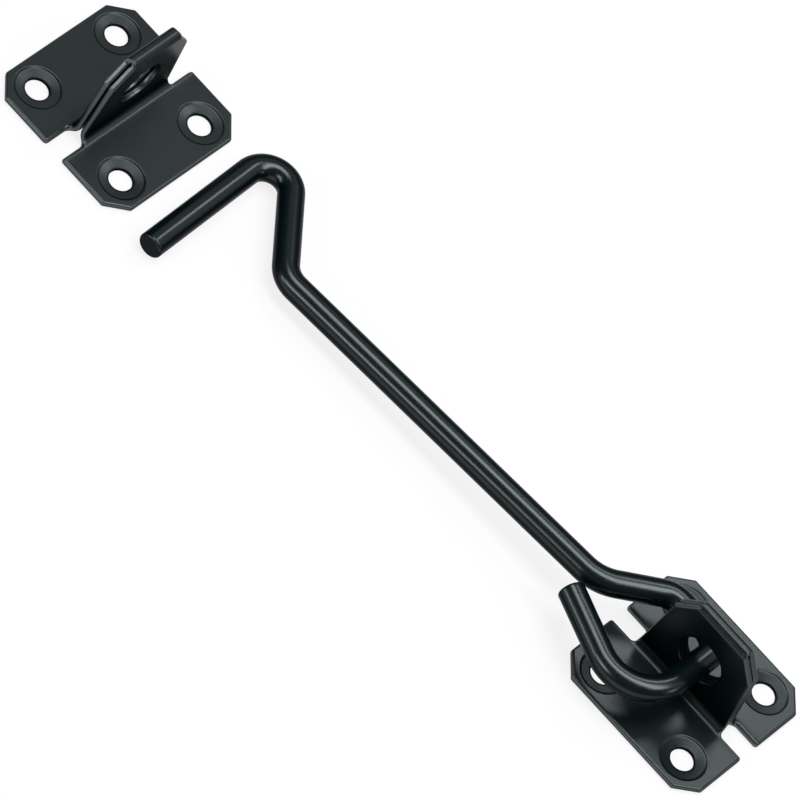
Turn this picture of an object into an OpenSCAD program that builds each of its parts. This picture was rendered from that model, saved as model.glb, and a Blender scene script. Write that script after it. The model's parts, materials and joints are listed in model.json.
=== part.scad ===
// Hook and eye latch: a bent round-rod hook, loose in the ear of its own screw plate,
// and a keeper plate of the same pressing whose ear is the eye.
// Millimetres. The hook plate's screw pattern is centred on the origin with its back at Z = 0,
// its fold runs along X, and the hook lies towards +X with its tip pointing to +Y.

/* [Plates] */
// Length of a plate along its fold
plate_l = 40; // [38:1:60]
// Width of a plate across its fold
plate_w = 40; // [38:1:60]
// Thickness of the sheet steel
sheet_t = 1.5; // [1:0.1:1.8]
// Length cut off each side at a plate corner
corner_cut = 4.6; // [2:0.2:6]
// Width of the relief notch at each end of the fold
notch_w = 5; // [4:0.2:6]
// Depth of the relief notch, along the fold
notch_depth = 6.8; // [5:0.2:7.2]
// Radius in the two inner corners of the relief notch
notch_r = 1.2; // [0.4:0.1:1.8]

/* [Screw holes] */
// Diameter of a screw hole
screw_hole_d = 5.4; // [4:0.1:6]
// Diameter of the countersink at the face of the plate
countersink_d = 10.4; // [8:0.2:11]
// Straight land left under the countersink
hole_land = 0.9; // [0.2:0.1:0.9]
// Spacing of the screw holes along the fold
screw_pitch_l = 24.5; // [22:0.5:26]
// Spacing of the screw holes across the fold
screw_pitch_w = 26.5; // [22:0.5:27]

/* [Ear] */
// Height of the ear's folded crest above the back of the plate
ear_h = 26; // [24:0.5:26.5]
// Length of the ear's crest
ear_top_w = 13.4; // [10:0.2:14]
// Width of the ear at its shoulders
ear_shoulder_w = 23; // [20:0.2:23.4]
// Height of the ear's shoulders above the back of the plate
ear_shoulder_h = 19.6; // [18:0.2:22]
// Gap left between the two layers of the ear
ear_gap = 0.2; // [0.1:0.1:0.6]
// Inside radius of the bend between plate and ear
bend_r = 2; // [0.5:0.1:2.4]
// Diameter of the eye, the hole through the ear
eye_d = 11; // [9:0.1:12]
// Height of the eye's centre above the back of the plate
eye_h = 12.9; // [12:0.1:14]

/* [Hook rod] */
// Diameter of the round rod
rod_d = 6; // [5:0.1:6.5]
// Reach of the hook, from the rod's axis in the eye to its axis at the far bend
hook_reach = 143; // [120:1:240]
// Chamfer round each cut end of the rod
rod_end_chamfer = 0.5; // [0.2:0.1:1]
// How much thinner the rod draws in its bends, on the radius
bend_draw = 0.03; // [0.02:0.01:0.1]
// Clearance under the rod where it lies in the eye
seat_gap = 0.15; // [0.1:0.05:0.3]

/* [Hook loop] */
// Clearance between the ear's back face and the start of the bend behind it
neck_gap = 0.4; // [0.3:0.1:2]
// Axis radius of the bend behind the ear
rear_r = 5; // [5:0.1:8]
// Straight length of rod that runs along behind the ear
rear_l = 7.5; // [7.5:0.1:12]
// Axis radius of the bend from behind the ear into the neck
rear_bend_r = 6; // [6:0.5:9]
// Angle of the neck to the line of the plate's fold
neck_angle = 42.5; // [38:0.5:48]
// Straight length of the neck
neck_l = 10.1; // [8:0.1:16]
// Axis radius of the bend from the neck into the shank
neck_bend_r = 11; // [8:0.5:14]
// Straight length of rod in front of the ear's front face
loop_run = 6; // [2:0.2:8]
// Axis radius of the loop in front of the ear
loop_r = 10; // [8:0.1:11]
// Angle by which the loop's tail closes back towards the shank
tail_angle = 22.5; // [10:0.5:28]
// Straight length of the loop's tail
tail_l = 16.6; // [8:0.2:18]

/* [Hook end] */
// Angle of the shank to the line of the plate's fold
shank_angle = 1.7; // [0:0.1:4]
// Angle by which the jog turns off the shank
jog_angle = 50.8; // [30:0.2:60]
// Axis radius of the bend from the shank into the jog
jog_bend_r = 7; // [5:0.5:12]
// Straight length of the jog
jog_l = 18; // [12:0.5:24]
// Axis radius of the bend between jog and tip
end_bend_r = 5.5; // [4.5:0.1:8]
// Straight length of the tip
tip_l = 31.6; // [20:0.2:40]

/* [Layout] */
// Distance from the hook's far bend to the keeper plate's near edge
keeper_gap = 8; // [6:0.5:40]
// Offset of the keeper plate's centre across the hook plate's fold
keeper_y = 6.1; // [0:0.1:12]

/* [Hidden] */
$fn = 64;

steel_black = "#20272a";
cut_margin = 1;
bend_lap = 0.3;

// Folded sheet, across the fold: half width of the ear, start of the bend and centre of the crest
ear_half_t = ear_gap / 2 + sheet_t;
bend_start = ear_half_t + bend_r;
bend_top = sheet_t + bend_r;
crest_z = ear_h - ear_half_t;
notch_x = plate_l / 2 - notch_depth;

// Rod in the eye: it lies on the bottom of the eye, and its axis is the hook's pivot
rod_r = rod_d / 2;
pivot_z = eye_h - eye_d / 2 + rod_r + seat_gap;
pin_back = ear_half_t + neck_gap;
pin_front = ear_half_t + loop_run;

// Runs of the rod both ways from its stretch in the eye, each [straight, turn to the left, bend radius]
tip_turn = 90 + jog_angle;
loop_runs = [[0, -90 - tail_angle, loop_r], [tail_l, 0, 0]];
neck_runs = [
    [pin_front + pin_back, 90, rear_r],
    [rear_l, neck_angle, rear_bend_r],
    [neck_l, shank_angle - neck_angle, neck_bend_r]
];
end_runs = [[jog_l, tip_turn, end_bend_r], [tip_l, 0, 0]];

// Reach of one run along X when it starts at a heading: its straight length, then its bend
function run_reach(run, heading) =
    run[0] * cos(heading) + sign(run[1]) * run[2] * (sin(heading + run[1]) - sin(heading));
neck_reach = run_reach(neck_runs[0], -90) + run_reach(neck_runs[1], 0) + run_reach(neck_runs[2], neck_angle);

// The shank takes up the reach that the neck, the jog and the far bend leave
jog_heading = shank_angle - jog_angle;
jog_reach = run_reach([0, -jog_angle, jog_bend_r], shank_angle) + jog_l * cos(jog_heading);
far_reach = end_bend_r * (1 - sin(jog_heading));
shank_l = (hook_reach - neck_reach - jog_reach - far_reach) / cos(shank_angle);
hook_runs = concat(neck_runs, [[shank_l, -jog_angle, jog_bend_r]], end_runs);

// The far bend rests on the surface that the plates lie on
lie_angle = asin((pivot_z - rod_r - seat_gap) / hook_reach);
keeper_x = hook_reach + keeper_gap + plate_w / 2;

// Quarter of a ring, from straight down round to +X, about its own centre
module quarter_ring(inner_r, outer_r) {
    intersection() {
        difference() {
            circle(r = outer_r);
            circle(r = inner_r);
        }
        translate([0, -outer_r])
            square([outer_r, outer_r]);
    }
}

// Half of the folded sheet's section: flat, bend, ear layer and half of the crest
module half_section() {
    crest_r = ear_gap / 2;
    translate([-plate_w / 2, 0])
        square([plate_w / 2 - bend_start, sheet_t]);
    translate([-bend_start, bend_top])
        quarter_ring(bend_r, bend_r + sheet_t);
    translate([-ear_half_t, bend_top])
        square([sheet_t, crest_z - bend_top]);
    translate([0, crest_z])
        rotate(180)
            quarter_ring(crest_r, ear_half_t);
}

module folded_sheet() {
    rotate([90, 0, 90])
        linear_extrude(height = plate_l, center = true)
            union() {
                half_section();
                mirror([1, 0])
                    half_section();
            }
}

// The two ends of one cut corner of the blank, for each sign pair
function blank_corner(sx, sy) = [
    [sx * plate_l / 2, sy * (plate_w / 2 - corner_cut)],
    [sx * (plate_l / 2 - corner_cut), sy * plate_w / 2]
];
function reversed(points) = [for (i = [len(points) - 1 : -1 : 0]) points[i]];

// Relief notch at the +X end of the fold, with rounded inner corners
module notch() {
    reach = notch_depth + cut_margin;
    translate([notch_x, -notch_w / 2]) {
        translate([notch_r, 0])
            square([reach - notch_r, notch_w]);
        translate([0, notch_r])
            square([reach, notch_w - 2 * notch_r]);
        for (y = [notch_r, notch_w - notch_r])
            translate([notch_r, y])
                circle(r = notch_r);
    }
}

module blank_prism() {
    translate([0, 0, -cut_margin])
        linear_extrude(height = ear_h + 2 * cut_margin)
            difference() {
                polygon(concat(
                    blank_corner(1, 1),
                    reversed(blank_corner(-1, 1)),
                    blank_corner(-1, -1),
                    reversed(blank_corner(1, -1))
                ));
                notch();
                mirror([1, 0])
                    notch();
            }
}

// What the trimming leaves: everything up to the top of the bends, and the ear's own outline above
module ear_outline() {
    translate([-plate_l / 2 - cut_margin, -plate_w / 2 - cut_margin, -cut_margin])
        cube([plate_l + 2 * cut_margin, plate_w + 2 * cut_margin, bend_top + cut_margin]);
    rotate([90, 0, 0])
        linear_extrude(height = 2 * bend_start, center = true)
            polygon([
                [-notch_x, 0],
                [notch_x, 0],
                [notch_x, bend_top],
                [ear_shoulder_w / 2, ear_shoulder_h],
                [ear_top_w / 2, ear_h],
                [-ear_top_w / 2, ear_h],
                [-ear_shoulder_w / 2, ear_shoulder_h],
                [-notch_x, bend_top]
            ]);
}

module screw_hole() {
    translate([0, 0, -cut_margin])
        cylinder(d = screw_hole_d, h = sheet_t + 2 * cut_margin);
    cone_h = sheet_t - hole_land;
    cone_slope = (countersink_d - screw_hole_d) / cone_h;
    translate([0, 0, hole_land])
        cylinder(d1 = screw_hole_d, d2 = countersink_d + cone_slope * cut_margin, h = cone_h + cut_margin);
}

// Plate and ear folded from one sheet, with four countersunk holes and the eye
module folded_plate() {
    difference() {
        intersection() {
            folded_sheet();
            blank_prism();
            ear_outline();
        }
        for (sx = [-1, 1], sy = [-1, 1])
            translate([sx * screw_pitch_l / 2, sy * screw_pitch_w / 2, 0])
                screw_hole();
        translate([0, 0, eye_h])
            rotate([90, 0, 0])
                cylinder(d = eye_d, h = 2 * (ear_half_t + cut_margin), center = true);
    }
}

// Bend of the rod that starts at the origin towards +X and turns left, or right if negative.
// Each end laps a little way into the straight beside it.
module rod_bend(turn, bend_radius) {
    lap_angle = asin(bend_lap / bend_radius);
    translate([0, sign(turn) * bend_radius, 0])
        rotate([0, 0, (turn > 0 ? -90 : 90 + turn) - lap_angle])
            rotate_extrude(angle = abs(turn) + 2 * lap_angle)
                translate([bend_radius, 0])
                    circle(r = rod_r - bend_draw);
}

module rod_straight(length) {
    rotate([0, 90, 0])
        cylinder(d = rod_d, h = length);
}

module rod_cut_end(length) {
    rod_straight(length - rod_end_chamfer);
    translate([length - rod_end_chamfer, 0, 0])
        rotate([0, 90, 0])
            cylinder(r1 = rod_r, r2 = rod_r - rod_end_chamfer, h = rod_end_chamfer);
}

// Place where a run ends and start of run n, both as [x, y, heading]
function run_end(start, run) =
    let (
        out_heading = start[2] + run[1],
        swing = sign(run[1]) * run[2]
    )
    [
        start[0] + run[0] * cos(start[2]) + swing * (sin(out_heading) - sin(start[2])),
        start[1] + run[0] * sin(start[2]) - swing * (cos(out_heading) - cos(start[2])),
        out_heading
    ];
function run_start(runs, first, n) = n == 0 ? first : run_end(run_start(runs, first, n - 1), runs[n - 1]);

// Rod that follows its runs one after another from the first start, the last one cut off square
module bent_rod(runs, first) {
    last = len(runs) - 1;
    for (i = [0 : last]) {
        start = run_start(runs, first, i);
        translate([start[0], start[1], 0])
            rotate([0, 0, start[2]]) {
                if (i == last)
                    rod_cut_end(runs[i][0]);
                else if (runs[i][0] > 0)
                    rod_straight(runs[i][0]);
                if (runs[i][1] != 0)
                    translate([runs[i][0], 0, 0])
                        rod_bend(runs[i][1], runs[i][2]);
            }
    }
}

module hook_plate() {
    color(steel_black)
        folded_plate();
}

module hook() {
    color(steel_black)
        translate([0, 0, pivot_z])
            rotate([0, lie_angle, 0])
                union() {
                    bent_rod(loop_runs, [0, pin_front, 90]);
                    bent_rod(hook_runs, [0, pin_front, -90]);
                }
}

module keeper_plate() {
    color(steel_black)
        translate([keeper_x, keeper_y, 0])
            rotate([0, 0, -90])
                folded_plate();
}

hook_plate();
hook();
keeper_plate();
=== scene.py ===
import json
import math
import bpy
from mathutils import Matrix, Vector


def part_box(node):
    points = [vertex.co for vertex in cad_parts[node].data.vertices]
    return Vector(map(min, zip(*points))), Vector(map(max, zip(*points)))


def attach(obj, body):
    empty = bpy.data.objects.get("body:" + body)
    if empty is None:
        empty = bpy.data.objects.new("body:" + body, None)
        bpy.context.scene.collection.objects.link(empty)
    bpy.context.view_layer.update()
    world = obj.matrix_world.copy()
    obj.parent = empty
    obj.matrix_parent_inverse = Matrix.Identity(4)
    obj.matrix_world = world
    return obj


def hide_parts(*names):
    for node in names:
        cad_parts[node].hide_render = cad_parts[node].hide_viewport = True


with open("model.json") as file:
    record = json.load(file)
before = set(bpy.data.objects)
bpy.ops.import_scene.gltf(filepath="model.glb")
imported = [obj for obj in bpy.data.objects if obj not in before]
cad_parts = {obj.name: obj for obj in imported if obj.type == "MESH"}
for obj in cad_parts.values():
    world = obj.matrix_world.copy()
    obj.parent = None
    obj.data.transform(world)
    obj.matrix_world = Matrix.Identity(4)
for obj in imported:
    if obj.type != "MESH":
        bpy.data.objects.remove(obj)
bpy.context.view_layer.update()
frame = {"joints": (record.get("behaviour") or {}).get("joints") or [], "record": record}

from types import SimpleNamespace

import bmesh
import bpy
import numpy as np
from mathutils import Matrix, Vector
from mathutils.geometry import delaunay_2d_cdt

bl_info = {
    "name": "Hook and eye latch",
    "version": (1, 0, 0),
    "blender": (4, 5, 0),
    "location": "3D View > Sidebar > Latch",
    "description": "Two folded screw plates and a bent rod hook in satin black enamel",
    "category": "Add Mesh",
}

MM = 0.001
QUARTER = math.pi / 2

# What the frame gives: screw patterns, eye, pivot and the box of the hook plate, in metres
mounts = {m["name"]: m for m in frame["record"]["mounts"]}
screw_dims = mounts["hook_plate_screws"]["dims"]
eye_mount = mounts["keeper_eye"]
pivot = Vector(next(j for j in frame["joints"] if j["name"] == "hook_swing")["pos_m"])
plate_low, plate_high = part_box("hook_plate")
plate_extent = (plate_high - plate_low) / MM

# Widths of the patterns in the enamel, in millimetres, and how many times longer than wide a draw line is
FILM_PATCH = 9
MATT_PATCH = 4
PEEL_WIDTH = 1.6
DRAW_LINE_WIDTH = 1.1
DRAW_LINE_STRETCH = 12

# How strongly the patterns show: the range that their noise keeps to, the share of thin enamel on the
# flats, the sway of the roughness, and the relief, its depth in millimetres
NOISE_LOW, NOISE_HIGH = 0.3, 0.7
UNEVEN_SHARE = 0.06
ROUGHNESS_SWAY = 0.008
RELIEF_STRENGTH = 0.02
RELIEF_DEPTH = 0.05

# Gloss of the enamel: its IOR, where it falls off between a view square on (0) and a grazing one (1),
# what burnishing adds on an edge, and how burnished the edges and the walls of the screw holes are.
# On the edges the same share also lays on the lighter enamel colour as a painted highlight
FILM_IOR = 1.5
SHEET_FALL = (0.19, 0.5)
ROD_FALL = (0.02, 0.34)
BURNISH_GAIN = 2.2
EDGE_POLISH_AND_HIGHLIGHT = 1.0
HOLE_POLISH = -0.42

# The colour sockets of a Mix node share their names with its other kinds, so they go by number
MIX_A, MIX_B, MIX_RESULT = 6, 7, 2

# Small forms of the pressing, in millimetres: half the width of the punch mark's step, the lip of a
# screw hole, and the share of the lip that is left at the middle of its round
STEP_HALF = 0.3
HOLE_LIP = 0.12
LIP_MIDDLE = 0.3

# How finely the plates are meshed: steps and gaps in millimetres, and counts of points
ROW_STEP = 1.2
OUTLINE_STEP = 1.25
EDGE_STRIP = 0.14
POINT_GAP = 0.3
ROUND_ROWS = 14
COLUMNS = 32
CIRCLE_POINTS = 72
CORNER_STEPS = 7
EDGE_STEPS = 4
RIM_RINGS = (-1.7, -1.2, -0.8, -0.5, -0.36, -0.24, -0.12, 0, 0.12, 0.24, 0.36, 0.55)

# How finely the rod is meshed
ROD_SIDES = 72
ROD_BEND_STEP = math.radians(4)
ROD_END_STEPS = 6

# Tolerances: an edge is level below the first, stops on an edge are one below the second, as a share
# of it, and points are one below the next two, in millimetres. The last is the share of a hole's
# radius inside which a triangle lies in the hole.
LEVEL_RUN = 1e-6
SAME_STOP = 1e-3
SAME_BLANK_POINT = 1e-5
SAME_AXIS_POINT = 1e-4
INSIDE_HOLE = 0.99

# The floor in millimetres, how much of its white is even, and the camera's sensor in millimetres
FLOOR_REACH = 6000
FLOOR_DROP = 0.05
EVEN_WHITE = 0.82
SENSOR_WIDTH = 36.0

# The pale card by direction: where it starts behind the part, its middle height, and its soft edge
CARD_START, CARD_FULL = -0.2, -0.5
CARD_MIDDLE = 0.52
CARD_OUTER, CARD_INNER = 0.32, 0.18


def linear(hex_colour):
    """Linear colour of an sRGB hex value."""
    channels = [int(hex_colour[i:i + 2], 16) / 255 for i in (1, 3, 5)]
    return [c / 12.92 if c <= 0.04045 else ((c + 0.055) / 1.055) ** 2.4 for c in channels]


def length(name, description, millimetres):
    """Property for a length."""
    return bpy.props.FloatProperty(
        name=name, description=description, default=millimetres * MM, min=0.0, precision=5, unit="LENGTH")


def angle(name, description, degrees):
    """Property for an angle."""
    return bpy.props.FloatProperty(
        name=name, description=description, default=math.radians(degrees), unit="ROTATION")


def position(name, description, millimetres):
    """Property for a point in space."""
    return bpy.props.FloatVectorProperty(
        name=name, description=description, default=[c * MM for c in millimetres],
        unit="LENGTH", subtype="XYZ")


def share(name, description, value):
    """Property for a share or level between 0 and 1."""
    return bpy.props.FloatProperty(name=name, description=description, default=value, min=0.0, max=1.0)


def power(name, description, watts):
    """Property for the power of a lamp."""
    return bpy.props.FloatProperty(name=name, description=description, default=watts, min=0.0, unit="POWER")


def colour(name, description, hex_colour):
    """Property for a colour."""
    return bpy.props.FloatVectorProperty(
        name=name, description=description, default=linear(hex_colour), size=3, min=0.0, max=1.0,
        subtype="COLOR")


class LatchPlateSizes(bpy.types.PropertyGroup):
    """Sizes of the pressing that both plates are."""
    along_fold: length("Length", "Length of a plate along its fold", plate_extent.x)
    across_fold: length("Width", "Width of a plate across its fold", plate_extent.y)
    sheet: length("Sheet", "Thickness of the sheet steel", 1.5)
    edge_round: length("Edge rounding", "Radius of the tumbled edges of the sheet", 0.5)
    corner_cut: length("Corner cut", "Length cut off each side at a plate corner", 4.6)
    corner_round: length("Corner rounding", "Radius left by the die at each outer corner", 0.7)
    notch_width: length("Notch width", "Width of the relief notch at each end of the fold", 5.0)
    notch_depth: length("Notch depth", "Depth of the relief notch along the fold", 6.8)
    notch_round: length("Notch rounding", "Radius in the inner corners of the notch", 1.2)
    hole: length("Screw hole", "Diameter of a screw hole", 2 * screw_dims["hole_r_mm"])
    countersink: length("Countersink", "Diameter of the pressed countersink", 10.4)
    countersink_step: length("Countersink step", "Depth of the punch mark round the countersink", 0.22)
    hole_land: length("Hole land", "Straight wall left under the countersink", 0.9)
    pitch_along: length("Pitch along", "Spacing of the holes along the fold", screw_dims["spacing_x_mm"])
    pitch_across: length("Pitch across", "Spacing of the holes across the fold", screw_dims["spacing_y_mm"])
    ear_height: length("Ear height", "Height of the folded crest above the back", plate_extent.z)
    ear_top: length("Ear top", "Length of the ear's crest", 13.4)
    ear_shoulder: length("Ear shoulders", "Width of the ear at its shoulders", 23.0)
    ear_shoulder_height: length("Shoulder height", "Height of the ear's shoulders above the back", 19.6)
    ear_round: length("Ear rounding", "Radius of the corners of the ear", 1.2)
    ear_gap: length("Ear gap", "Gap left between the two layers of the ear", 0.2)
    bend_radius: length("Bend", "Inside radius of the bend between plate and ear", 2.0)
    eye: length("Eye", "Diameter of the eye through the ear", 2 * eye_mount["dims"]["r_mm"])
    eye_height: length("Eye height", "Height of the eye's middle over the back", eye_mount["pos_m"][2] / MM)


class LatchHookSizes(bpy.types.PropertyGroup):
    """Sizes of the bent rod, from its stretch in the eye outwards."""
    rod: length("Rod", "Diameter of the round rod", 6.0)
    reach: length("Reach", "From the rod's axis in the eye to its axis at the far bend", 143.0)
    end_round: length("End rounding", "Radius round each cut end of the rod", 0.55)
    seat_gap: length("Seat gap", "Clearance under the rod where it lies", 0.15)
    pin_back: length("Back of the pin", "Straight rod behind the middle of the ear", 2.0)
    pin_front: length("Front of the pin", "Straight rod in front of the middle of the ear", 7.6)
    rear_radius: length("Rear bend", "Axis radius of the bend behind the ear", 5.0)
    rear: length("Rear", "Straight length of rod that runs along behind the ear", 7.5)
    rear_bend: length("Rear neck bend", "Axis radius of the bend from behind the ear into the neck", 6.0)
    neck_angle: angle("Neck angle", "Angle of the neck to the line of the fold", 42.5)
    neck: length("Neck", "Straight length of the neck", 10.1)
    neck_bend: length("Neck bend", "Axis radius of the bend from the neck into the shank", 11.0)
    shank_angle: angle("Shank angle", "Angle of the shank to the line of the fold", 1.7)
    jog_bend: length("Jog bend", "Axis radius of the bend from the shank into the jog", 7.0)
    jog_angle: angle("Jog angle", "Angle by which the jog turns off the shank", 50.8)
    jog: length("Jog", "Straight length of the jog", 18.0)
    end_bend: length("End bend", "Axis radius of the bend between jog and tip", 5.5)
    tip: length("Tip", "Straight length of the tip", 31.6)
    loop_radius: length("Loop", "Axis radius of the loop in front of the ear", 10.0)
    tail_angle: angle("Tail angle", "Angle by which the loop closes back towards the shank", 22.5)
    tail: length("Tail", "Straight length of the loop's tail", 16.6)


class LatchFinish(bpy.types.PropertyGroup):
    """The enamel on all three pieces."""
    enamel: colour("Enamel", "Colour of the stoved enamel", "#030D10")
    # Lighter enamel colour for thin patches of the film, and on the sheet's edges a painted highlight
    thin_film_and_edge_highlight: colour("Thin enamel", "Colour where the enamel is thin, on edges", "#0E181B")
    sheet_roughness: share("Sheet roughness", "Roughness of the satin surface on the sheet", 0.32)
    rod_roughness: share("Rod roughness", "Roughness of the satin surface on the rod", 0.24)
    sheet_gloss: share("Sheet gloss", "Specular level on the sheet seen square on, 0.5 is a clear film", 0.5)
    rod_gloss: share("Rod gloss", "Specular level on the rod seen square on, 0.5 is a clear film", 0.8)
    edge_gloss: share("Edge gloss", "Specular level of the enamel at a grazing view", 0.04)
    sheen: colour("Sheen", "Colour of the enamel's reflections", "#F0FEFF")


class LatchStage(bpy.types.PropertyGroup):
    """Floor, light and camera."""
    floor: colour("Floor", "Colour of the floor", "#FAFAFA")
    fill: share("Fill", "Strength of the even light from all round", 0.1)
    card: share("Card", "Strength of the pale card that stands behind it", 0.8)
    top_light: power("Top light", "Power of the long softbox overhead", 2.6)
    top_place: position("Top place", "Middle of the long softbox overhead", (-10, -40, 520))
    top_width: length("Top width", "Width of the long softbox overhead, along the fold", 780)
    top_depth: length("Top depth", "Depth of the long softbox overhead, across the fold", 200)
    back_light: power("Back light", "Power of the softbox behind it", 0.58)
    back_place: position("Back place", "Middle of the softbox behind it", (100, -370, 520))
    back_width: length("Back width", "Width of the softbox behind it", 125)
    back_depth: length("Back depth", "Depth of the softbox behind it", 170)
    front_light: power("Front light", "Power of the low softbox in front", 0.95)
    front_place: position("Front place", "Middle of the low softbox in front", (330, 600, 330))
    front_width: length("Front width", "Width of the low softbox in front", 360)
    front_height: length("Front height", "Height of the low softbox in front", 160)
    glint_light: power("Glint light", "Power of each small lamp low beside it", 0.24)
    right_glint: position("Right glint", "Place of the small lamp for the loop's tail", (450, 410, 120))
    left_glint: position("Left glint", "Place of the small lamp for the loop's underside", (-555, -105, 210))
    glint_size: length("Glint size", "Side of each small lamp", 100)
    lens: length("Lens", "Focal length of the camera", 360.0)
    distance: length("Distance", "From the camera to the point it aims at", 1680.3)
    azimuth: angle("Azimuth", "Direction of the camera, from +X towards +Y", 105.62)
    elevation: angle("Elevation", "Height of the camera over the floor, as an angle", 54.14)
    roll: angle("Roll", "Turn of the picture about the line of sight", -34.5)
    aim_along: length("Aim along", "Place that the camera aims at, along X", 84.4)
    aim_across: length("Aim across", "Place that the camera aims at, along Y", 3.5)


def plain_sizes(group):
    """The values of a group by name, lengths in millimetres and angles in radians."""
    values = {}
    for name, prop in group.bl_rna.properties.items():
        if prop.type == "FLOAT":
            value = getattr(group, name)
            if prop.is_array:
                value = Vector(value)
            values[name] = value / MM if prop.unit == "LENGTH" else value
    return SimpleNamespace(**values)


def add_node(tree, kind, inputs=None, **settings):
    """Adds a node with its settings. An input is a value, or the socket that it is linked to."""
    node = tree.nodes.new(kind)
    for name, value in settings.items():
        setattr(node, name, value)
    for key, value in (inputs or {}).items():
        if isinstance(value, bpy.types.NodeSocket):
            tree.links.new(value, node.inputs[key])
        else:
            node.inputs[key].default_value = value
    return node


def new_material(name):
    """An empty node material and its tree."""
    material = bpy.data.materials.new(name)
    material.use_nodes = True
    material.node_tree.nodes.clear()
    return material, material.node_tree


def grain_scale(millimetres):
    """Noise scale that gives features of about this size on coordinates in metres."""
    return 1 / (millimetres * MM)


def satin_gloss(tree, square_on, grazing, fall):
    """Specular level of a satin film, which scatters more and mirrors less at a grazing view."""
    facing = add_node(tree, "ShaderNodeLayerWeight", {"Blend": 0.5}).outputs["Facing"]
    return add_node(tree, "ShaderNodeMapRange", {
        "Value": facing, "From Min": fall[0], "From Max": fall[1],
        "To Min": square_on, "To Max": grazing}).outputs["Result"]


def uneven_film(tree, surface):
    """How thin the enamel is over a surface, in faint patches where it flowed unevenly."""
    patches = add_node(tree, "ShaderNodeTexNoise", {
        "Vector": surface, "Scale": grain_scale(FILM_PATCH), "Detail": 3.0})
    return add_node(tree, "ShaderNodeMapRange", {
        "Value": patches.outputs["Fac"], "From Min": NOISE_LOW, "From Max": NOISE_HIGH,
        "To Min": 0.0, "To Max": UNEVEN_SHARE}).outputs["Result"]


def enamel_film(tree, finish, roughness, film_and_highlight_share, dull, relief, gloss):
    """Ends a tree in the enamel. The sockets say where it takes the lighter colour of thin film and of the
    painted edge highlight, where it is dull, its relief and its gloss.
    """
    tint = add_node(tree, "ShaderNodeMix", {
        "Factor": film_and_highlight_share, MIX_A: (*finish.enamel, 1), MIX_B: (*finish.thin_film_and_edge_highlight, 1)}, data_type="RGBA")
    rough = add_node(tree, "ShaderNodeMapRange", {
        "Value": dull, "From Min": NOISE_LOW, "From Max": NOISE_HIGH,
        "To Min": roughness - ROUGHNESS_SWAY, "To Max": roughness + ROUGHNESS_SWAY})
    bump = add_node(tree, "ShaderNodeBump", {
        "Height": relief, "Strength": RELIEF_STRENGTH, "Distance": RELIEF_DEPTH * MM})
    enamel = add_node(tree, "ShaderNodeBsdfPrincipled", {
        "Base Color": tint.outputs[MIX_RESULT], "Roughness": rough.outputs["Result"],
        "Normal": bump.outputs["Normal"], "IOR": FILM_IOR,
        "Specular IOR Level": gloss, "Specular Tint": (*finish.sheen, 1)})
    add_node(tree, "ShaderNodeOutputMaterial", {"Surface": enamel.outputs["BSDF"]})


# Stoved enamel over pressed sheet: a thin satin film that rounds off every edge. The eye sees a
# near-black blue-green with soft reflections, a faint orange peel, edges in a lighter enamel colour that
# is a painted highlight, glossier edges where the film is burnished, and matt walls in the screw holes.
def stoved_enamel_on_sheet(finish):
    material, tree = new_material("stoved_enamel_on_pressed_sheet")
    surface = add_node(tree, "ShaderNodeTexCoord").outputs["Object"]
    edge = add_node(tree, "ShaderNodeAttribute", attribute_name="edge").outputs["Fac"]
    # The edge value lays the lighter enamel colour on every edge as a painted highlight, over the thin
    # patches
    film_and_highlight_share = add_node(tree, "ShaderNodeMath", {0: edge, 1: uneven_film(tree, surface)}, operation="MAXIMUM")
    matt = add_node(tree, "ShaderNodeTexNoise", {
        "Vector": surface, "Scale": grain_scale(MATT_PATCH), "Detail": 2.0})
    peel = add_node(tree, "ShaderNodeTexNoise", {
        "Vector": surface, "Scale": grain_scale(PEEL_WIDTH), "Detail": 1.0})
    satin = satin_gloss(tree, finish.sheet_gloss, finish.edge_gloss, SHEET_FALL)
    polish = add_node(tree, "ShaderNodeMath", {0: edge, 1: BURNISH_GAIN, 2: 1.0}, operation="MULTIPLY_ADD")
    gloss = add_node(tree, "ShaderNodeMath", {0: satin, 1: polish.outputs[0]}, operation="MULTIPLY")
    enamel_film(tree, finish, finish.sheet_roughness, film_and_highlight_share.outputs[0],
                matt.outputs["Fac"], peel.outputs["Fac"], gloss.outputs[0])
    return material


# Stoved enamel over drawn rod: the same film, thicker on the round. Under it the die has left fine
# lines along the rod, which the eye sees as highlights that waver a little along their length. The
# lines are drawn coarser than they are, so that they show.
def stoved_enamel_on_rod(finish):
    material, tree = new_material("stoved_enamel_on_drawn_rod")
    surface = add_node(tree, "ShaderNodeTexCoord").outputs["Object"]
    unbent = add_node(tree, "ShaderNodeAttribute", attribute_name="unbent").outputs["Vector"]
    along = add_node(tree, "ShaderNodeMapping", {"Vector": unbent, "Scale": (1, 1, 1 / DRAW_LINE_STRETCH)})
    lines = add_node(tree, "ShaderNodeTexNoise", {
        "Vector": along.outputs["Vector"], "Scale": grain_scale(DRAW_LINE_WIDTH), "Detail": 2.0})
    gloss = satin_gloss(tree, finish.rod_gloss, finish.edge_gloss, ROD_FALL)
    enamel_film(tree, finish, finish.rod_roughness, uneven_film(tree, surface),
                lines.outputs["Fac"], lines.outputs["Fac"], gloss)
    return material


def spread(start, end, step):
    """Even stops from start up to end, not counting end, at most a step apart."""
    count = max(1, math.ceil((end - start) / step))
    return [start + (end - start) * i / count for i in range(count)]


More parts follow.
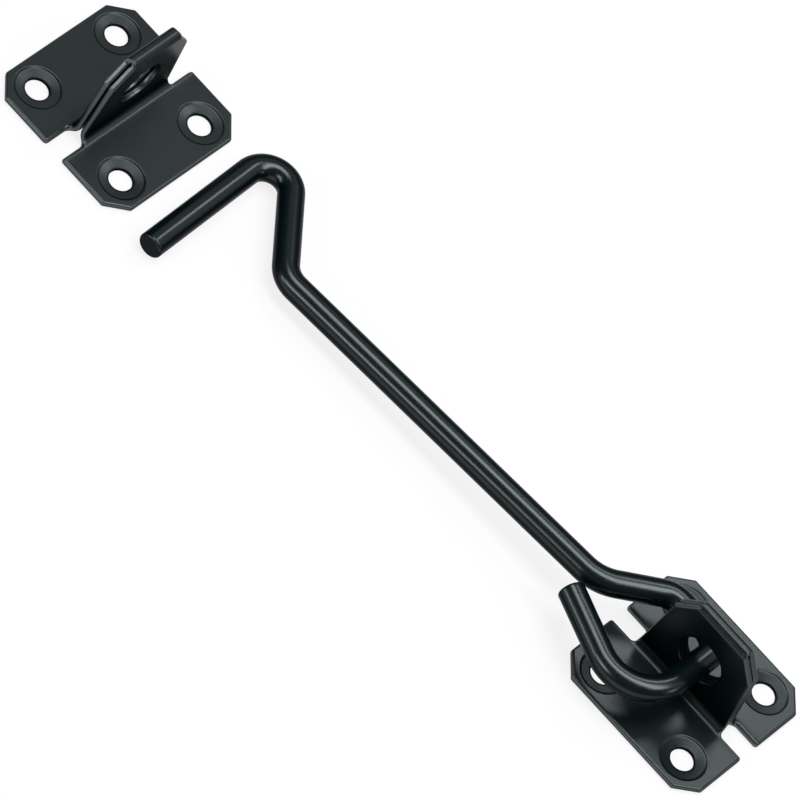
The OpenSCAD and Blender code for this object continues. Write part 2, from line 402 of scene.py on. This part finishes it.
class FoldedSheet:
    """The section of the folded sheet, in millimetres. A place on it is a run from the middle of the
    crest along the middle of the sheet, negative on the -Y half, and a height out of its upper face."""

    def __init__(self, size):
        half = size.sheet / 2
        self.half = half
        self.crest_r = size.ear_gap / 2 + half
        self.bend_r = size.bend_radius + half
        self.bend_y = size.ear_gap / 2 + size.sheet + size.bend_radius
        self.bend_z = size.sheet + size.bend_radius
        self.crest_z = size.ear_height - size.ear_gap / 2 - size.sheet
        self.crest_end = QUARTER * self.crest_r
        self.ear_end = self.crest_end + self.crest_z - self.bend_z
        self.bend_end = self.ear_end + QUARTER * self.bend_r
        self.edge = self.bend_end + size.across_fold / 2 - self.bend_y

    def on_flat(self, y):
        """Run at a distance across the fold, on the flat or in the bend."""
        if y >= self.bend_y:
            return self.bend_end + y - self.bend_y
        return self.ear_end + self.bend_r * math.acos((self.bend_y - y) / self.bend_r)

    def on_ear(self, z):
        """Run at a height on the ear."""
        return self.crest_end + self.crest_z - z

    def folded(self, along, run, height):
        """Point in space, in metres, of a place on the flat blank."""
        far = abs(run)
        if far < self.crest_end:
            turn = far / self.crest_r
            y = (self.crest_r + height) * math.sin(turn)
            z = self.crest_z + (self.crest_r + height) * math.cos(turn)
        elif far < self.ear_end:
            y = self.crest_r + height
            z = self.crest_z - (far - self.crest_end)
        elif far < self.bend_end:
            turn = (far - self.ear_end) / self.bend_r
            y = self.bend_y - (self.bend_r - height) * math.cos(turn)
            z = self.bend_z - (self.bend_r - height) * math.sin(turn)
        else:
            y = self.bend_y + far - self.bend_end
            z = self.half + height
        return Vector((along, math.copysign(y, run), z)) * MM

    def rows(self):
        """Runs at which the mesh has a row of points: close together on the rounds."""
        half_rows = (
            spread(0, self.crest_end, self.crest_end / ROUND_ROWS)
            + spread(self.crest_end, self.ear_end, ROW_STEP)
            + spread(self.ear_end, self.bend_end, (self.bend_end - self.ear_end) / ROUND_ROWS)
            + spread(self.bend_end, self.edge, ROW_STEP)
        )
        return [-r for r in reversed(half_rows[1:])] + half_rows


def rounded_corner(before, corner, after, radius):
    """Points of the arc that rounds off a corner."""
    to_before = (before - corner).normalized()
    to_after = (after - corner).normalized()
    half_angle = to_before.angle(to_after) / 2
    centre = corner + (to_before + to_after).normalized() * (radius / math.sin(half_angle))
    start = corner + to_before * (radius / math.tan(half_angle)) - centre
    sweep = math.pi - 2 * half_angle
    if to_before.x * to_after.y - to_before.y * to_after.x > 0:
        sweep = -sweep
    return [centre + Matrix.Rotation(sweep * i / CORNER_STEPS, 2) @ start for i in range(CORNER_STEPS + 1)]


def blank_outline(size, sheet):
    """Edge of the flat blank as (along, run) points, with its corners rounded."""
    notch_run = sheet.on_flat(size.notch_width / 2)
    half_length = size.along_fold / 2
    # From the crest to the far edge on one side of one half, each (along, run, radius)
    quarter = [
        (size.ear_top / 2, 0, size.ear_round),
        (size.ear_shoulder / 2, sheet.on_ear(size.ear_shoulder_height), size.ear_round),
        (half_length - size.notch_depth, notch_run, size.notch_round),
        (half_length, notch_run, size.corner_round),
        (half_length, sheet.on_flat(size.across_fold / 2 - size.corner_cut), size.corner_round),
        (half_length - size.corner_cut, sheet.edge, size.corner_round),
    ]
    side = [(u, -s, r) for u, s, r in reversed(quarter[1:])] + quarter
    corners = side + [(-u, s, r) for u, s, r in reversed(side)]
    points = [Vector(c[:2]) for c in corners]
    outline = []
    for i, (_, _, radius) in enumerate(corners):
        outline += rounded_corner(points[i - 1], points[i], points[(i + 1) % len(points)], radius)
    return outline


def split_edges(loop, rows, step):
    """The loop with points added where its edges cross a row, and on long edges."""
    split = []
    for a, b in zip(loop, loop[1:] + loop[:1]):
        stops = set(spread(0.0, 1.0, step / max((b - a).length, step)))
        if abs(b.y - a.y) > LEVEL_RUN:
            stops |= {(row - a.y) / (b.y - a.y) for row in rows}
        kept = [0.0]
        for stop in sorted(stops):
            if kept[-1] + SAME_STOP < stop < 1 - SAME_STOP:
                kept.append(stop)
        split += [a.lerp(b, stop) for stop in kept]
    return split


def inset(loop, distance):
    """The loop moved inwards, to the left of its own direction."""
    moved = []
    for i, point in enumerate(loop):
        into = (point - loop[i - 1]).normalized()
        out = (loop[(i + 1) % len(loop)] - point).normalized()
        left = Vector((-into.y - out.y, into.x + out.x))
        moved.append(point + left * (distance / (1 + into.dot(out))))
    return moved


def ring(centre, radius):
    """Points of a circle on the blank, run clockwise so that its left side is outside."""
    turns = [2 * math.pi * i / CIRCLE_POINTS for i in range(CIRCLE_POINTS)]
    return [centre + Vector((math.cos(a), -math.sin(a))) * radius for a in turns]


def countersink_depth(size, radius):
    """Depth of the pressed countersink at a distance from its axis: a soft step, then a cone."""
    outer = size.countersink / 2
    rise = min(1.0, max(0.0, (outer + STEP_HALF - radius) / (2 * STEP_HALF)))
    step = size.countersink_step * rise * rise * (3 - 2 * rise)
    cone = size.sheet - size.hole_land - size.countersink_step
    return step + cone * min(1.0, max(0.0, (outer - radius) / (outer - size.hole / 2)))


def clear_of(points, loop, distance):
    """Which of the points lie inside a loop and at least a distance from its edge."""
    start = np.array(loop)
    end = np.roll(start, -1, axis=0)
    along = end - start
    rise = np.where(along[:, 1] == 0, 1, along[:, 1])
    keep = np.zeros(len(points), bool)
    for i, point in enumerate(np.array(points)):
        nearest = np.clip(((point - start) * along).sum(1) / (along * along).sum(1), 0, 1)
        gap = np.linalg.norm(start + along * nearest[:, None] - point, axis=1).min()
        crosses = (start[:, 1] > point[1]) != (end[:, 1] > point[1])
        reach = start[:, 0] + (point[1] - start[:, 1]) * along[:, 0] / rise
        keep[i] = gap >= distance and (crosses & (reach > point[0])).sum() % 2 == 1
    return keep


def edge_profile(size):
    """Rounded edge of the sheet from its upper to its lower face, as (inset, height) pairs."""
    half, radius = size.sheet / 2, size.edge_round
    turns = [QUARTER * i / EDGE_STEPS for i in range(EDGE_STEPS + 1)]
    upper = [(radius * (1 - math.sin(a)), half - radius + radius * math.cos(a)) for a in turns]
    return upper + [(d, -h) for d, h in reversed(upper)]


def screw_profile(size):
    """Wall of a screw hole from the countersink's cone down to the lower face."""
    half, middle = size.sheet / 2, HOLE_LIP * LIP_MIDDLE
    land_top = half - countersink_depth(size, size.hole / 2)
    cone_edge = half - countersink_depth(size, size.hole / 2 + HOLE_LIP)
    return [
        (HOLE_LIP, cone_edge),
        (middle, land_top - middle),
        (0, land_top - HOLE_LIP),
        (0, HOLE_LIP - half),
        (middle, middle - half),
        (HOLE_LIP, -half),
    ]


def blank_borders(size, outline, eye_centres, screw_centres):
    """The borders of the blank, each with a function that gives its ring at an inset, its profile
    through the sheet, and its polish, which is below 0 where the film stays matt, and above 0 also lays on a
    painted edge highlight."""
    borders = [(lambda d: inset(outline, d), edge_profile(size), EDGE_POLISH_AND_HIGHLIGHT)]
    for centre in eye_centres:
        borders.append((lambda d, c=centre: ring(c, size.eye / 2 + d), edge_profile(size), EDGE_POLISH_AND_HIGHLIGHT))
    for centre in screw_centres:
        borders.append((lambda d, c=centre: ring(c, size.hole / 2 + d), screw_profile(size), HOLE_POLISH))
    return borders


def face_points(size, rows, outline, guard, eye_centres, screw_centres):
    """Points inside the borders: rings that carry the countersinks, and rows over the rest of the blank."""
    rim = size.countersink / 2
    rings = [p for centre in screw_centres for d in RIM_RINGS for p in ring(centre, rim + d)]
    columns = [size.along_fold * (i / COLUMNS - 0.5) for i in range(COLUMNS + 1)]
    grid = [Vector((u, s)) for s in rows for u in columns]
    inside = clear_of(grid, outline, guard + POINT_GAP)
    taken = [(c, size.eye / 2 + guard + POINT_GAP) for c in eye_centres]
    taken += [(c, rim + RIM_RINGS[-1] + POINT_GAP) for c in screw_centres]
    free = [p for p, keep in zip(grid, inside) if keep and all((p - c).length > r for c, r in taken)]
    return rings + free


def pressed_plate(size):
    """Mesh of one plate about its own screw pattern: the blank with its holes, folded up in the middle."""
    sheet = FoldedSheet(size)
    rows = sheet.rows()
    guard = size.edge_round + EDGE_STRIP
    outline = split_edges(blank_outline(size, sheet), rows, OUTLINE_STEP)
    screw_run = sheet.on_flat(size.pitch_across / 2)
    screw_centres = [Vector((u * size.pitch_along / 2, s * screw_run)) for u in (-1, 1) for s in (-1, 1)]
    eye_centres = [Vector((0, s * sheet.on_ear(size.eye_height))) for s in (-1, 1)]
    borders = blank_borders(size, outline, eye_centres, screw_centres)
    points, loops = [], []
    for border, _, _ in borders:
        loop = border(guard)
        loops.append(range(len(points), len(points) + len(loop)))
        points += loop
    points += face_points(size, rows, outline, guard, eye_centres, screw_centres)

    # Triangles over the flat blank, apart from those that fill its holes
    rims = [(a, b) for loop in loops for a, b in zip(loop, [*loop[1:], loop[0]])]
    flat, _, triangles, sources, _, _ = delaunay_2d_cdt(points, rims, [], 1, SAME_BLANK_POINT)
    hollow = [(c, size.eye / 2 + guard) for c in eye_centres]
    hollow += [(c, size.hole / 2 + guard) for c in screw_centres]
    middles = [sum((flat[i] for i in t), Vector((0, 0))) / 3 for t in triangles]
    triangles = [t for t, m in zip(triangles, middles)
                 if all((m - c).length > r * INSIDE_HOLE for c, r in hollow)]
    found = {source: i for i, merged in enumerate(sources) for source in merged}

    # Both faces, folded, and then the strips that join them along each border
    bm = bmesh.new()
    edge_layer = bm.verts.layers.float.new("edge")
    faces = []
    for upper in (True, False):
        face = []
        for spot in flat:
            height = -sheet.half
            if upper:
                near = min((spot - c).length for c in screw_centres)
                height = sheet.half - countersink_depth(size, near)
            face.append(bm.verts.new(sheet.folded(spot.x, spot.y, height)))
        faces.append(face)
        for t in triangles:
            bm.faces.new([face[i] for i in (t if upper else reversed(t))])
    for (border, profile, polish), loop in zip(borders, loops):
        previous = [faces[0][found[i]] for i in loop]
        strips = []
        for d, height in profile:
            strip = [bm.verts.new(sheet.folded(p.x, p.y, height)) for p in border(d)]
            for vert in strip:
                # The edge value raises the gloss and lays the lighter enamel colour on the rounded edge and
                # side wall, a painted highlight
                vert[edge_layer] = polish * (1 - min(1.0, d / size.edge_round))
            strips.append(strip)
        strips.append([faces[1][found[i]] for i in loop])
        for strip in strips:
            for i in range(len(loop)):
                bm.faces.new((previous[i - 1], previous[i], strip[i], strip[i - 1]))
            previous = strip
    for vert in [v for v in bm.verts if not v.link_faces]:
        bm.verts.remove(vert)
    bmesh.ops.recalc_face_normals(bm, faces=bm.faces)
    for face in bm.faces:
        face.smooth = True
    mesh = bpy.data.meshes.new("pressed_plate")
    bm.to_mesh(mesh)
    bm.free()
    return mesh


def show(mesh, name, material):
    """The mesh as a finished piece at the origin."""
    mesh.name = name
    mesh.materials.clear()
    mesh.materials.append(material)
    piece = bpy.data.objects.new(name, mesh)
    bpy.context.scene.collection.objects.link(piece)
    return piece


class LATCH_OT_plates(bpy.types.Operator):
    """Make the hook plate and the keeper plate, which are the same pressing"""
    bl_idname = "latch.plates"
    bl_label = "Folded plates"

    def execute(self, context):
        enamel = stoved_enamel_on_sheet(plain_sizes(context.scene.latch_finish))
        mesh = pressed_plate(plain_sizes(context.scene.latch_plate))
        # The keeper's eye runs along X, so its plate is turned by a quarter
        turns = {"hook_plate": 0, "keeper_plate": -QUARTER}
        centres = {"hook_plate": mounts["hook_plate_screws"], "keeper_plate": mounts["keeper_screws"]}
        bodies = {"hook_plate": "hook_plate", "keeper_plate": "keeper"}
        for node, turn in turns.items():
            placed = mesh.copy()
            placed.transform(Matrix.Translation(centres[node]["pos_m"]) @ Matrix.Rotation(turn, 4, "Z"))
            piece = show(placed, node + "_pressing", enamel)
            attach(piece, bodies[node])
            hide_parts(node)
        bpy.data.meshes.remove(mesh)
        return {"FINISHED"}


def run_end(start, run):
    """Place and heading after a run: a straight length, then a turn to the left on a radius."""
    straight, turn, radius = run
    x, y, heading = start
    swing = math.copysign(radius, turn)
    x += straight * math.cos(heading) + swing * (math.sin(heading + turn) - math.sin(heading))
    y += straight * math.sin(heading) - swing * (math.cos(heading + turn) - math.cos(heading))
    return x, y, heading + turn


def follow(start, runs):
    """Points of the rod's axis along its runs, close together in the bends."""
    points = []
    for straight, turn, radius in runs:
        points.append(start[:2])
        for i in range(max(1, math.ceil(abs(turn) / ROD_BEND_STEP))):
            turned = i * ROD_BEND_STEP / abs(turn) if turn else 0
            points.append(run_end(start, (straight, turn * turned, radius))[:2])
        start = run_end(start, (straight, turn, radius))
    points.append(start[:2])
    return points


def hook_axis(size):
    """Axis of the bent rod from the end of its tail to the end of its tip, in its own plane."""
    neck_runs = [
        (size.pin_front + size.pin_back, QUARTER, size.rear_radius),
        (size.rear, size.neck_angle, size.rear_bend),
        (size.neck, size.shank_angle - size.neck_angle, size.neck_bend),
    ]
    start = shank_start = (0, size.pin_front, -QUARTER)
    for run in neck_runs:
        shank_start = run_end(shank_start, run)
    jog_heading = size.shank_angle - size.jog_angle
    jog_end = run_end((0, 0, size.shank_angle), (0, -size.jog_angle, size.jog_bend))
    past_shank = jog_end[0] + size.jog * math.cos(jog_heading) + size.end_bend * (1 - math.sin(jog_heading))
    shank = (size.reach - shank_start[0] - past_shank) / math.cos(size.shank_angle)
    end_runs = [
        (shank, -size.jog_angle, size.jog_bend),
        (size.jog, QUARTER + size.jog_angle, size.end_bend),
        (size.tip, 0, 0),
    ]
    loop_runs = [
        (0, -QUARTER - size.tail_angle, size.loop_radius),
        (size.tail, 0, 0),
    ]
    loop = follow((0, size.pin_front, QUARTER), loop_runs)
    hook = follow(start, neck_runs + end_runs)
    axis = [Vector((*p, 0)) for p in reversed(loop)] + [Vector((*p, 0)) for p in hook]
    axis = [p for i, p in enumerate(axis) if i == 0 or (p - axis[i - 1]).length > SAME_AXIS_POINT]
    # Close stops behind each cut end, where the rod rounds off
    turns = [QUARTER * i / ROD_END_STEPS for i in range(1, ROD_END_STEPS + 1)]
    stops = [size.end_round * (1 - math.cos(a)) for a in turns] + [2 * size.end_round]
    tail_way = (axis[1] - axis[0]).normalized()
    tip_way = (axis[-2] - axis[-1]).normalized()
    near_tail = [axis[0] + tail_way * d for d in stops]
    near_tip = [axis[-1] + tip_way * d for d in reversed(stops)]
    return axis[:1] + near_tail + axis[1:-1] + near_tip + axis[-1:]


def bent_rod_tree(material):
    """Geometry nodes that sweep a round rod along a path and round off its cut ends."""
    tree = bpy.data.node_groups.new("bent_rod", "GeometryNodeTree")
    tree.interface.new_socket("Path", in_out="INPUT", socket_type="NodeSocketGeometry")
    for name in ("Rod diameter", "End rounding"):
        tree.interface.new_socket(name, in_out="INPUT", socket_type="NodeSocketFloat")
    tree.interface.new_socket("Sides", in_out="INPUT", socket_type="NodeSocketInt")
    tree.interface.new_socket("Rod", in_out="OUTPUT", socket_type="NodeSocketGeometry")
    given = add_node(tree, "NodeGroupInput").outputs
    rounding = given["End rounding"]
    path = add_node(tree, "GeometryNodeMeshToCurve", {"Mesh": given["Path"]}).outputs["Curve"]

    # Radius at a distance from the nearer end: a quarter round, then the full rod
    along = add_node(tree, "GeometryNodeSplineParameter").outputs["Length"]
    total = add_node(tree, "GeometryNodeSplineLength").outputs["Length"]
    left = add_node(tree, "ShaderNodeMath", {0: total, 1: along}, operation="SUBTRACT").outputs[0]
    to_end = add_node(tree, "ShaderNodeMath", {0: along, 1: left}, operation="MINIMUM").outputs[0]
    short = add_node(tree, "ShaderNodeMath", {0: rounding, 1: to_end}, operation="SUBTRACT").outputs[0]
    short = add_node(tree, "ShaderNodeMath", {0: short, 1: 0.0}, operation="MAXIMUM").outputs[0]
    squares = [add_node(tree, "ShaderNodeMath", {0: s, 1: s}, operation="MULTIPLY").outputs[0]
               for s in (rounding, short)]
    rise = add_node(tree, "ShaderNodeMath", dict(enumerate(squares)), operation="SUBTRACT").outputs[0]
    rise = add_node(tree, "ShaderNodeMath", {0: rise, 1: 0.0}, operation="MAXIMUM").outputs[0]
    rise = add_node(tree, "ShaderNodeMath", {0: rise}, operation="SQRT").outputs[0]
    loss = add_node(tree, "ShaderNodeMath", {0: rounding, 1: rise}, operation="SUBTRACT").outputs[0]
    half = add_node(tree, "ShaderNodeMath", {
        0: given["Rod diameter"], 1: 0.5}, operation="MULTIPLY").outputs[0]
    radius = add_node(tree, "ShaderNodeMath", {0: half, 1: loss}, operation="SUBTRACT").outputs[0]
    path = add_node(tree, "GeometryNodeSetCurveRadius", {"Curve": path, "Radius": radius}).outputs["Curve"]

    # Places on the rod as if it were straight, for the draw lines
    way = add_node(tree, "GeometryNodeCaptureAttribute", {"Geometry": path})
    way.capture_items.new("FLOAT", "Along")
    tree.links.new(along, way.inputs["Along"])
    circle = add_node(tree, "GeometryNodeCurvePrimitiveCircle", {
        "Resolution": given["Sides"], "Radius": 1.0}, mode="RADIUS").outputs["Curve"]
    round_place = add_node(tree, "GeometryNodeInputPosition").outputs["Position"]
    section = add_node(tree, "GeometryNodeCaptureAttribute", {"Geometry": circle})
    section.capture_items.new("VECTOR", "Round")
    tree.links.new(round_place, section.inputs["Round"])
    path_radius = add_node(tree, "GeometryNodeInputRadius").outputs["Radius"]
    swept = add_node(tree, "GeometryNodeCurveToMesh", {
        "Curve": way.outputs["Geometry"], "Profile Curve": section.outputs["Geometry"],
        "Scale": path_radius, "Fill Caps": True})
    lengthwise = add_node(tree, "ShaderNodeCombineXYZ", {"Z": way.outputs["Along"]}).outputs["Vector"]
    unbent = add_node(tree, "ShaderNodeVectorMath", {
        0: section.outputs["Round"], 1: half, 2: lengthwise}, operation="MULTIPLY_ADD").outputs["Vector"]
    stored = add_node(tree, "GeometryNodeStoreNamedAttribute", {
        "Geometry": swept.outputs["Mesh"], "Name": "unbent", "Value": unbent},
        data_type="FLOAT_VECTOR", domain="POINT")
    smooth = add_node(tree, "GeometryNodeSetShadeSmooth", {"Geometry": stored.outputs["Geometry"]})
    real = add_node(tree, "GeometryNodeRealizeInstances", {"Geometry": smooth.outputs["Geometry"]})
    painted = add_node(tree, "GeometryNodeSetMaterial", {
        "Geometry": real.outputs["Geometry"], "Material": material})
    add_node(tree, "NodeGroupOutput", {"Rod": painted.outputs["Geometry"]})
    return tree


def meshed(path_mesh, tree, values):
    """Plain mesh that a node tree makes from a path, with the tree's inputs set by name."""
    host = bpy.data.objects.new("path", path_mesh)
    bpy.context.scene.collection.objects.link(host)
    modifier = host.modifiers.new("bent_rod", "NODES")
    modifier.node_group = tree
    for item in tree.interface.items_tree:
        if item.in_out == "INPUT" and item.name in values:
            modifier[item.identifier] = values[item.name]
    depsgraph = bpy.context.evaluated_depsgraph_get()
    mesh = bpy.data.meshes.new_from_object(host.evaluated_get(depsgraph), depsgraph=depsgraph)
    host.modifiers.remove(modifier)
    bpy.data.objects.remove(host)
    bpy.data.meshes.remove(path_mesh)
    return mesh


class LATCH_OT_hook(bpy.types.Operator):
    """Bend the hook from one round rod, linked through the eye of its plate"""
    bl_idname = "latch.hook"
    bl_label = "Bent hook"

    def execute(self, context):
        size = plain_sizes(context.scene.latch_hook)
        enamel = stoved_enamel_on_rod(plain_sizes(context.scene.latch_finish))
        axis = [p * MM for p in hook_axis(size)]
        path = bpy.data.meshes.new("hook_axis")
        path.from_pydata(axis, [(i, i + 1) for i in range(len(axis) - 1)], [])
        mesh = meshed(path, bent_rod_tree(enamel), {
            "Rod diameter": size.rod * MM, "End rounding": size.end_round * MM, "Sides": ROD_SIDES})
        # The far bend lies on the floor, so the hook leans down from its pivot
        lean = math.asin((pivot.z / MM - size.rod / 2 - size.seat_gap) / size.reach)
        mesh.transform(Matrix.Translation(pivot) @ Matrix.Rotation(lean, 4, "Y"))
        piece = show(mesh, "hook_rod", enamel)
        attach(piece, "hook")
        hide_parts("hook")
        return {"FINISHED"}


# White paper sweep: matt paper that takes the shadows, mixed with an even white that only the eye and
# reflections see. The eye sees a white ground with soft shadows, and the lamps need not be stronger.
def white_paper_sweep(stage):
    material, tree = new_material("white_paper_sweep")
    paper = add_node(tree, "ShaderNodeBsdfDiffuse", {"Color": (*stage.floor, 1)})
    even = add_node(tree, "ShaderNodeEmission", {"Color": (1, 1, 1, 1), "Strength": 1.0})
    ray = add_node(tree, "ShaderNodeLightPath").outputs
    seen = ray["Is Camera Ray"]
    for kind in ("Is Glossy Ray", "Is Transmission Ray"):
        seen = add_node(tree, "ShaderNodeMath", {0: seen, 1: ray[kind]}, operation="MAXIMUM").outputs[0]
    part = add_node(tree, "ShaderNodeMath", {0: seen, 1: EVEN_WHITE}, operation="MULTIPLY")
    both = add_node(tree, "ShaderNodeMixShader", {
        0: part.outputs[0], 1: paper.outputs["BSDF"], 2: even.outputs["Emission"]})
    add_node(tree, "ShaderNodeOutputMaterial", {"Surface": both.outputs["Shader"]})
    return material


def studio_world(stage):
    """Even dim light from all round, and a pale card that stands behind the part."""
    world = bpy.data.worlds.new("studio")
    world.use_nodes = True
    tree = world.node_tree
    tree.nodes.clear()
    way = add_node(tree, "ShaderNodeTexCoord").outputs["Generated"]
    way = add_node(tree, "ShaderNodeSeparateXYZ", {"Vector": way}).outputs
    behind = add_node(tree, "ShaderNodeMapRange", {
        "Value": way["Y"], "From Min": CARD_START, "From Max": CARD_FULL})
    off_middle = add_node(tree, "ShaderNodeMath", {0: way["Z"], 1: CARD_MIDDLE}, operation="SUBTRACT")
    off_middle = add_node(tree, "ShaderNodeMath", {0: off_middle.outputs[0]}, operation="ABSOLUTE")
    level = add_node(tree, "ShaderNodeMapRange", {
        "Value": off_middle.outputs[0], "From Min": CARD_OUTER, "From Max": CARD_INNER,
        "To Max": stage.card})
    glow = add_node(tree, "ShaderNodeMath", {
        0: behind.outputs["Result"], 1: level.outputs["Result"], 2: stage.fill}, operation="MULTIPLY_ADD")
    light = add_node(tree, "ShaderNodeBackground", {"Color": (1, 1, 1, 1), "Strength": glow.outputs[0]})
    add_node(tree, "ShaderNodeOutputWorld", {"Surface": light.outputs["Background"]})
    return world


def set_up(name, data, stand, back, up):
    """A lamp or camera at a place in millimetres, with the directions of its back and its up."""
    thing = bpy.data.objects.new(name, data)
    turn = Matrix((up.cross(back), up, back)).transposed().to_4x4()
    thing.matrix_world = Matrix.Translation(stand * MM) @ turn
    bpy.context.scene.collection.objects.link(thing)
    return thing


def softbox(name, stand, target, width, height, watts):
    """Area light that faces a target, its width level. Sizes in millimetres."""
    lamp = bpy.data.lights.new(name, "AREA")
    lamp.shape = "RECTANGLE"
    lamp.size, lamp.size_y = width * MM, height * MM
    lamp.energy = watts
    back = (stand - target).normalized()
    set_up(name, lamp, stand, back, back.cross(Vector((1, 0, 0))).normalized())


class LATCH_OT_stage(bpy.types.Operator):
    """Set up the floor, the light and the camera"""
    bl_idname = "latch.stage"
    bl_label = "Stage"

    def execute(self, context):
        stage = plain_sizes(context.scene.latch_stage)
        scene = context.scene
        scene.view_settings.view_transform = "Standard"
        scene.world = studio_world(stage)
        floor = bpy.data.meshes.new("floor")
        reach, below = FLOOR_REACH * MM, plate_low.z - FLOOR_DROP * MM
        corners = [(x * reach, y * reach, below) for x, y in ((-1, -1), (1, -1), (1, 1), (-1, 1))]
        floor.from_pydata(corners, [], [(0, 1, 2, 3)])
        show(floor, "floor", white_paper_sweep(stage))
        aim = Vector((stage.aim_along, stage.aim_across, 0))
        down = Vector((0, 0, -1))
        softbox("top_softbox", stage.top_place, stage.top_place + down,
                stage.top_width, stage.top_depth, stage.top_light)
        softbox("back_softbox", stage.back_place, stage.back_place + down,
                stage.back_width, stage.back_depth, stage.back_light)
        softbox("front_softbox", stage.front_place, aim,
                stage.front_width, stage.front_height, stage.front_light)
        for name, stand in (("right_glint", stage.right_glint), ("left_glint", stage.left_glint)):
            softbox(name, stand, Vector((0, 0, pivot.z / MM)),
                    stage.glint_size, stage.glint_size, stage.glint_light)

        camera = bpy.data.cameras.new("camera")
        camera.sensor_width = SENSOR_WIDTH
        camera.lens = stage.lens
        back = Vector((
            math.cos(stage.elevation) * math.cos(stage.azimuth),
            math.cos(stage.elevation) * math.sin(stage.azimuth),
            math.sin(stage.elevation)))
        level_up = (Vector((0, 0, 1)) - back * back.z).normalized()
        up = level_up * math.cos(stage.roll) + level_up.cross(back) * math.sin(stage.roll)
        scene.camera = set_up("camera", camera, aim + back * stage.distance, back, up)
        return {"FINISHED"}


class LATCH_PT_panel(bpy.types.Panel):
    """Sizes of the latch and the steps that make it"""
    bl_idname = "LATCH_PT_panel"
    bl_label = "Hook and eye latch"
    bl_space_type = "VIEW_3D"
    bl_region_type = "UI"
    bl_category = "Latch"

    def draw(self, context):
        for group, operator in STEPS:
            box = self.layout.box()
            settings = getattr(context.scene, group)
            for name in settings.__annotations__:
                box.prop(settings, name)
            if operator:
                box.operator(operator)


GROUPS = {
    "latch_plate": LatchPlateSizes,
    "latch_hook": LatchHookSizes,
    "latch_finish": LatchFinish,
    "latch_stage": LatchStage,
}
STEPS = (
    ("latch_finish", None),
    ("latch_plate", "latch.plates"),
    ("latch_hook", "latch.hook"),
    ("latch_stage", "latch.stage"),
)
CLASSES = (*GROUPS.values(), LATCH_OT_plates, LATCH_OT_hook, LATCH_OT_stage, LATCH_PT_panel)


def register():
    for cls in CLASSES:
        bpy.utils.register_class(cls)
    for name, group in GROUPS.items():
        setattr(bpy.types.Scene, name, bpy.props.PointerProperty(type=group))


def unregister():
    for name in GROUPS:
        delattr(bpy.types.Scene, name)
    for cls in reversed(CLASSES):
        bpy.utils.unregister_class(cls)


def main():
    register()
    bpy.ops.latch.plates()
    bpy.ops.latch.hook()
    bpy.ops.latch.stage()


if __name__ == "__main__":
    main()
